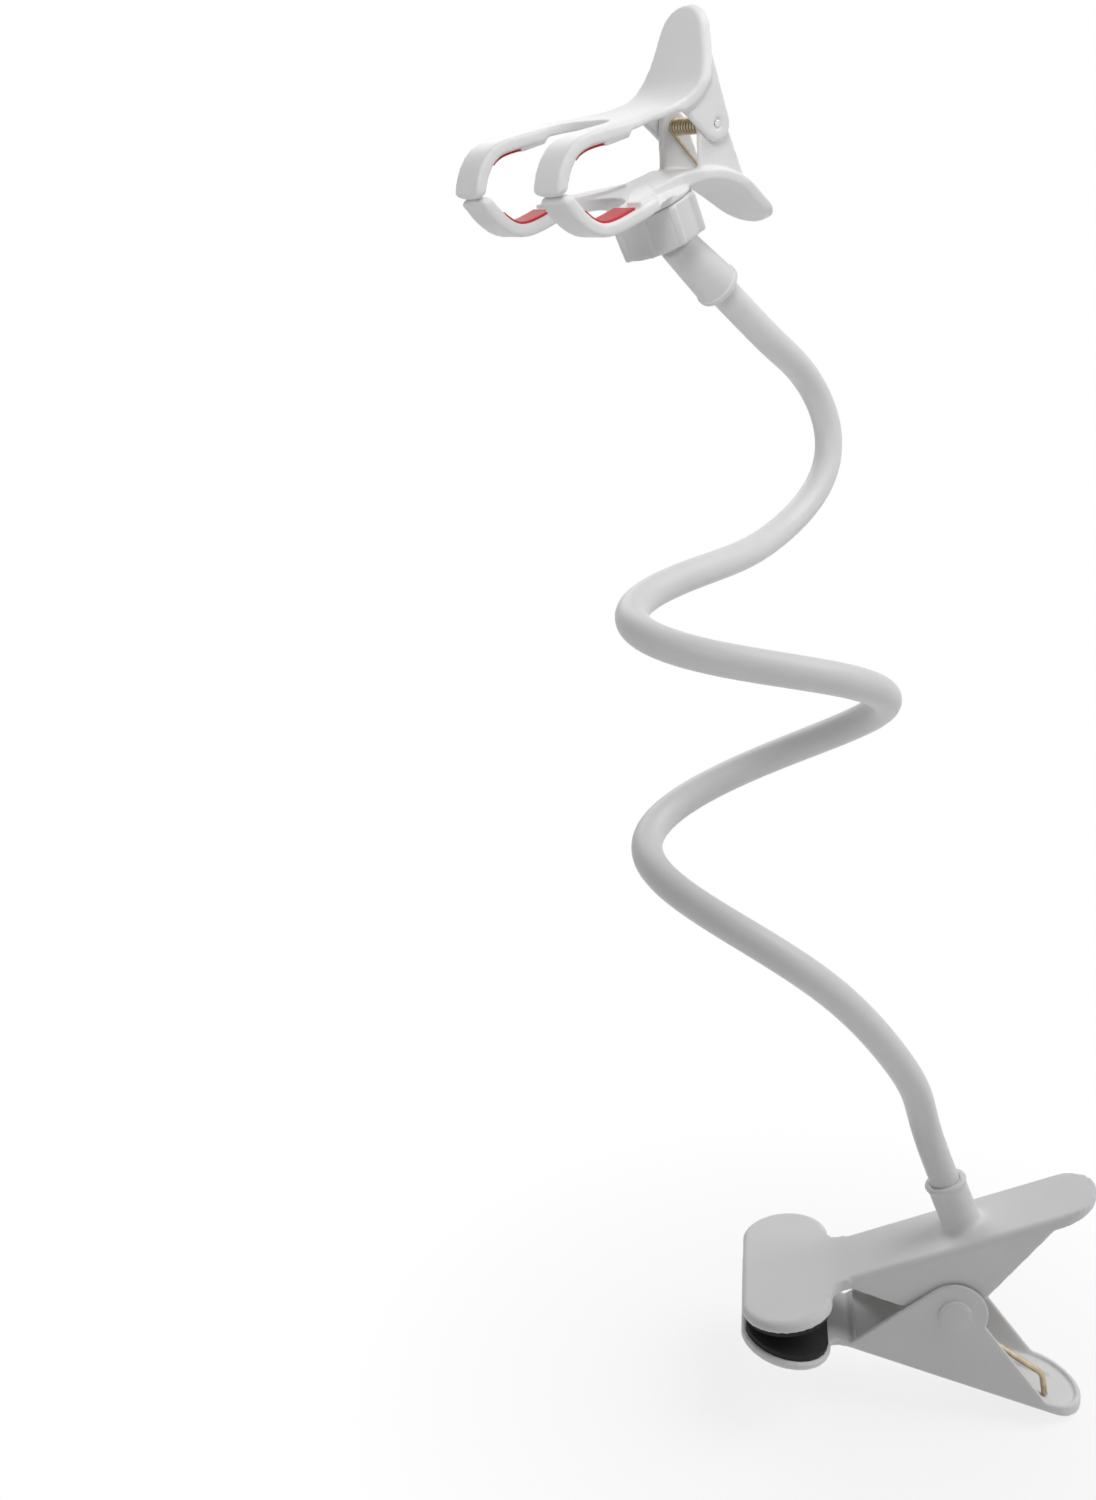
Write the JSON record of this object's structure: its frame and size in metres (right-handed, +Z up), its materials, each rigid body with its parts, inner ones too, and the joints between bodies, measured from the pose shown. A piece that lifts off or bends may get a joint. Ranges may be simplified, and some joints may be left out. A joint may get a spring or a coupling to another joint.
{
  "type": "phone clamp holder",
  "caption": "Spring clamp for a table edge with a long bendable arm and a ball joint that carries a spring clip with padded claws for a phone.",
  "frame": {"origin": "middle of the upper table pad's lower face, where the holder rests on a table's top", "axes": "+Z up, +X from the table clip's feet to its handles, +Y away from the viewer of the picture"},
  "size_m": [0.2047, 0.1565, 0.4336],
  "materials": {
    "white_satin": "satin moulded",
    "white_gloss": "soft gloss, moulded",
    "white_nut": "satin moulded",
    "white_sleeve": "smooth, slightly glossy sleeve",
    "black_rubber": "matte",
    "red_rubber": "matte",
    "gold_wire": "yellow plated wire",
    "steel": "bright",
    "aluminium_core": "plain wire"
  },
  "bodies": {
    "table_clip_upper": {"table_upper_lever": "white_satin", "table_upper_pad": "black_rubber", "arm_fixing_screw": "steel", "arm_fixing_washer": "steel"},
    "table_clip_lower": {"table_lower_lever": "white_satin", "table_lower_pad": "black_rubber", "table_pivot_pin": "steel", "table_near_pivot_cap": "white_satin", "table_far_pivot_cap": "white_satin", "table_spring": "gold_wire"},
    "arm": {"arm_core": "aluminium_core", "arm_sleeve": "white_sleeve", "arm_ferrule": "white_gloss"},
    "ball": {"swivel_ball": "steel"},
    "phone_clip_lower": {"phone_lower_lever": "white_gloss", "phone_pivot_pin": "steel", "phone_spring": "gold_wire", "lower_near_claw_pad": "red_rubber", "lower_far_claw_pad": "red_rubber"},
    "lock_nut": {"lock_nut": "white_nut"},
    "phone_clip_upper": {"phone_upper_lever": "white_gloss", "upper_near_claw_pad": "red_rubber", "upper_far_claw_pad": "red_rubber"}
  },
  "joints": [
    {"name": "table_clip_hinge", "type": "hinge", "parent": "table_clip_upper", "child": "table_clip_lower", "pos_m": [0.053, 0, 0.0005], "axis": [0, -1, 0], "range_deg": [-1.4, 55], "stiffness_Nm_per_rad": 1.2, "springref_deg": -34.38, "deforming": ["table_spring"]},
    {"name": "arm_bend", "type": "hinge", "parent": "table_clip_upper", "child": "arm", "pos_m": [0.0415, -0.004, 0.0665], "axis": [0, 1, 0], "range_deg": [-25, 25], "deforming": ["arm_core", "arm_sleeve"]},
    {"name": "ball_turn", "type": "hinge", "parent": "arm", "child": "ball", "pos_m": [-0.05099, 0.02215, 0.33687], "axis": [0.5672, 0.6262, -0.5349], "continuous": true},
    {"name": "clip_tilt", "type": "hinge", "parent": "ball", "child": "phone_clip_lower", "pos_m": [-0.05099, 0.02215, 0.33687], "axis": [-0.7062, 0.704, 0.0753], "range_deg": [-60, 1]},
    {"name": "lock_nut_turn", "type": "hinge", "parent": "phone_clip_lower", "child": "lock_nut", "pos_m": [-0.05099, 0.02215, 0.33687], "axis": [0.338, 0.3388, -0.8781], "range_deg": [0, 180]},
    {"name": "phone_clip_hinge", "type": "hinge", "parent": "phone_clip_lower", "child": "phone_clip_upper", "pos_m": [-0.0418, 0.0284, 0.3647], "axis": [-0.7062, 0.704, 0.0753], "range_deg": [0, 60], "stiffness_Nm_per_rad": 0.35, "springref_deg": -68.75, "deforming": ["phone_spring"]}
  ]
}
